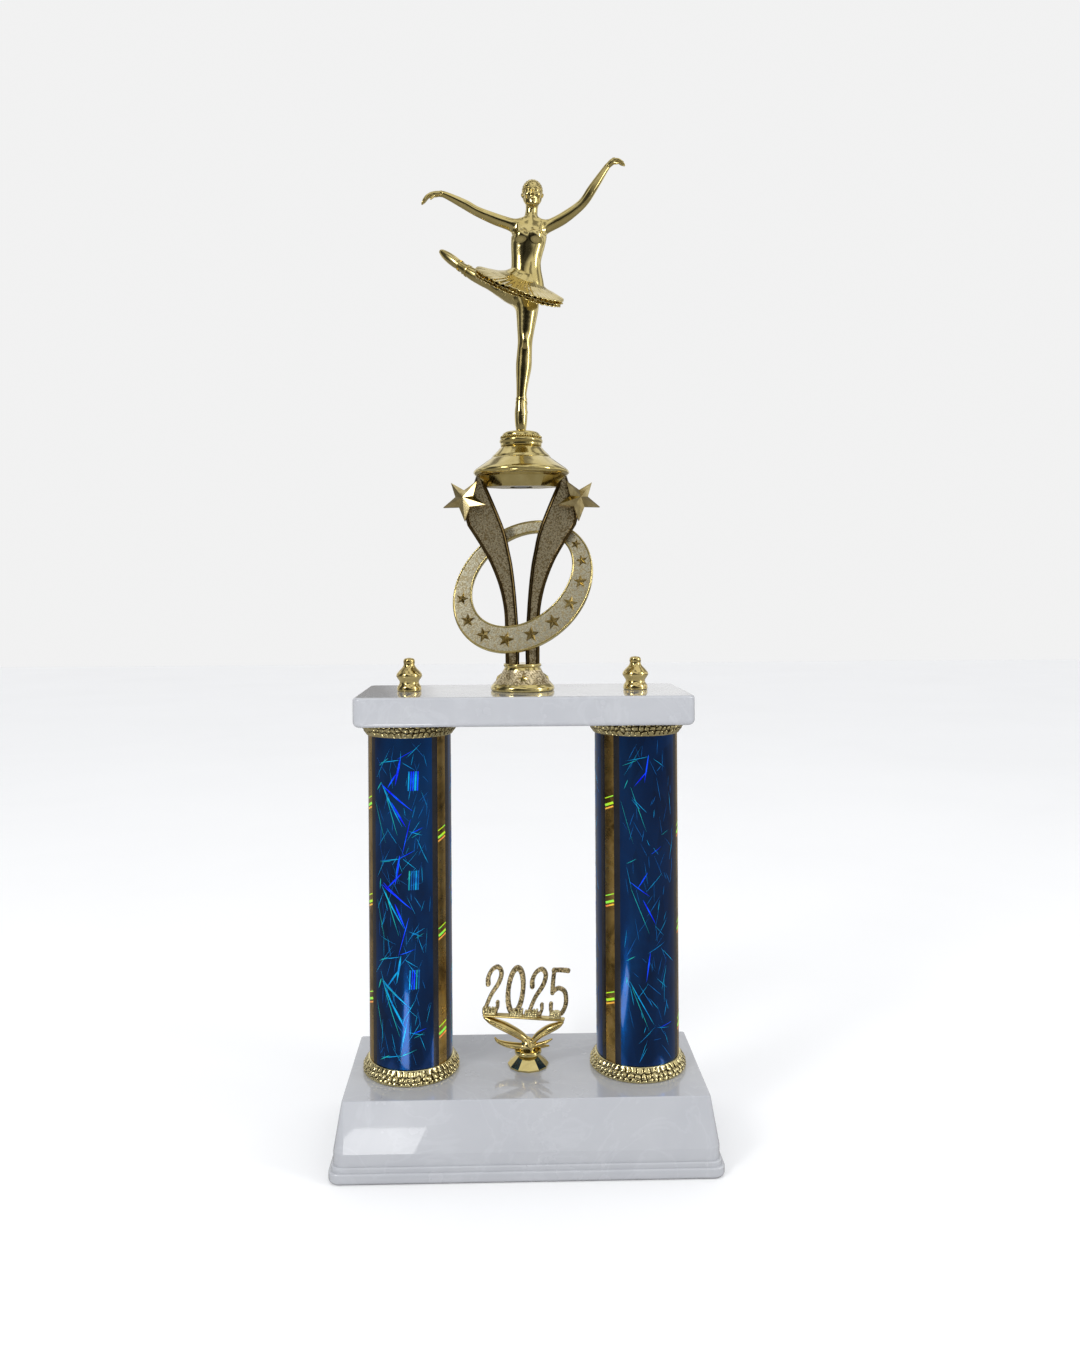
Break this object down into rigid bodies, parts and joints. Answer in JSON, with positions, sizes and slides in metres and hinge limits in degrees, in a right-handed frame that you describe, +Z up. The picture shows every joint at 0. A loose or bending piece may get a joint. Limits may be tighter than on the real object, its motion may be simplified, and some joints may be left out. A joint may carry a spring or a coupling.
{
  "type": "column trophy",
  "caption": "Free-standing award trophy: marble-look base, two round film-covered columns, marble-look deck, star riser and a gold ballet figure on pointe.",
  "frame": {"origin": "middle of the base's underside, on the surface the trophy stands on", "axes": "+Z up, -Y the front that shows the numerals and the stars, +X to the right of someone facing the front"},
  "size_m": [0.228, 0.105, 0.6047],
  "materials": {
    "gold_metallised_plastic": "vacuum-metallised gold, mirror bright",
    "champagne_glitter_plastic": "metallised champagne gold with a stippled, glittering face",
    "white_marble_plastic": "glossy moulded plastic, cloudy white marble look with faint veins",
    "holographic_film": "blue holographic foil film with black and gold stripes",
    "column_board": "spiral-wound board tube",
    "zinc_steel": "zinc-plated threaded steel",
    "brass_insert": "machined brass",
    "cast_filler": "rough cast plaster and sand slug",
    "cover_board": "black pressed board"
  },
  "bodies": {
    "stand": {"base_shell": "white_marble_plastic", "base_cover": "cover_board", "base_weight": "cast_filler", "tie_rod_left": "zinc_steel", "tie_rod_right": "zinc_steel", "rod_washers": "zinc_steel", "rod_nuts": "zinc_steel", "column_tube_left": "column_board", "column_tube_right": "column_board", "column_film_left": "holographic_film", "column_film_right": "holographic_film", "collar_bottom_left": "gold_metallised_plastic", "collar_bottom_right": "gold_metallised_plastic", "collar_top_left": "gold_metallised_plastic", "collar_top_right": "gold_metallised_plastic", "deck": "white_marble_plastic"},
    "riser": {"riser_foot": "gold_metallised_plastic", "riser_stud": "zinc_steel", "riser_washer": "zinc_steel", "riser_nut": "zinc_steel", "riser_bridge": "gold_metallised_plastic", "riser_leg_left": "champagne_glitter_plastic", "riser_leg_right": "champagne_glitter_plastic", "riser_star_left": "gold_metallised_plastic", "riser_star_right": "gold_metallised_plastic", "riser_ring": "champagne_glitter_plastic", "ring_stars": "gold_metallised_plastic", "riser_cap": "gold_metallised_plastic"},
    "dancer": {"figure_stud": "zinc_steel", "figure_washer": "zinc_steel", "figure_nut": "zinc_steel", "figure_pedestal": "gold_metallised_plastic", "figure": "gold_metallised_plastic"},
    "date_trim": {"trim_foot": "gold_metallised_plastic", "trim_stud": "zinc_steel", "trim_washer": "zinc_steel", "trim_nut": "zinc_steel", "trim_cradle": "gold_metallised_plastic", "numeral_two_first": "champagne_glitter_plastic", "numeral_zero": "champagne_glitter_plastic", "numeral_two_second": "champagne_glitter_plastic", "numeral_five": "champagne_glitter_plastic"},
    "left_finial": {"finial_left": "gold_metallised_plastic", "finial_insert_left": "brass_insert"},
    "right_finial": {"finial_right": "gold_metallised_plastic", "finial_insert_right": "brass_insert"}
  },
  "joints": [
    {"name": "riser_turn", "type": "hinge", "parent": "stand", "child": "riser", "pos_m": [0, 0, 0.276], "axis": [0, 0, 1], "continuous": true},
    {"name": "figure_turn", "type": "hinge", "parent": "riser", "child": "dancer", "pos_m": [0, 0, 0.4262], "axis": [0, 0, 1], "continuous": true},
    {"name": "date_trim_turn", "type": "hinge", "parent": "stand", "child": "date_trim", "pos_m": [0.002, 0, 0.0445], "axis": [0, 0, 1], "continuous": true},
    {"name": "finial_left_turn", "type": "hinge", "parent": "stand", "child": "left_finial", "pos_m": [-0.07, 0, 0.276], "axis": [0, 0, 1], "continuous": true},
    {"name": "finial_right_turn", "type": "hinge", "parent": "stand", "child": "right_finial", "pos_m": [0.07, 0, 0.276], "axis": [0, 0, 1], "continuous": true}
  ]
}
